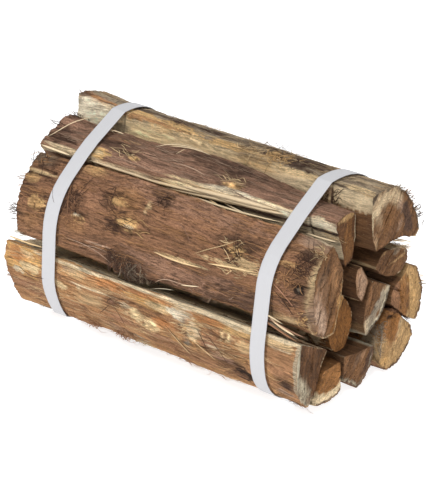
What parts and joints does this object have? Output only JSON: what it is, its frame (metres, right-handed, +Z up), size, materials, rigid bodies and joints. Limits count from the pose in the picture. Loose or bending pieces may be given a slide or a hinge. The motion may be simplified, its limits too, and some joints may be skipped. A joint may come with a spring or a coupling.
{
  "type": "bundle of firewood",
  "caption": "Split cedar logs with shaggy bark, laid side by side and held as a round bundle by flat white plastic straps, lying down.",
  "frame": {"origin": "bottom centre of the bundle's box, on the surface it lies on", "axes": "+X along the logs towards the end with the larger cut faces, -Y towards the front half log, +Z up"},
  "size_m": [0.3496, 0.205, 0.2051],
  "materials": {
    "grey_bark_wood": "weathered grey and tan inner bark over pale split wood, matte",
    "brown_bark_wood": "fibrous red-brown bark with peeled tan knots, matte",
    "peeled_bark_wood": "orange-tan wood with the bark mostly stripped, matte",
    "heartwood": "sawn and split red-brown heartwood, matte",
    "pale_split_wood": "pale sapwood round a brown heart, matte",
    "white_strap": "slightly glossy white polypropylene strap"
  },
  "bodies": {
    "root": {"log_top": "grey_bark_wood", "log_upper_slab": "brown_bark_wood", "log_front_half": "brown_bark_wood", "log_lower_front": "peeled_bark_wood", "log_bottom_wedge": "heartwood", "log_bottom_quarter": "heartwood", "log_core_tall": "heartwood", "log_core_stick": "pale_split_wood", "log_core_slab": "heartwood", "log_right_core": "heartwood", "log_right_upper": "pale_split_wood", "log_right_lower": "pale_split_wood", "strap_near": "white_strap", "strap_far": "white_strap"}
  },
  "joints": []
}
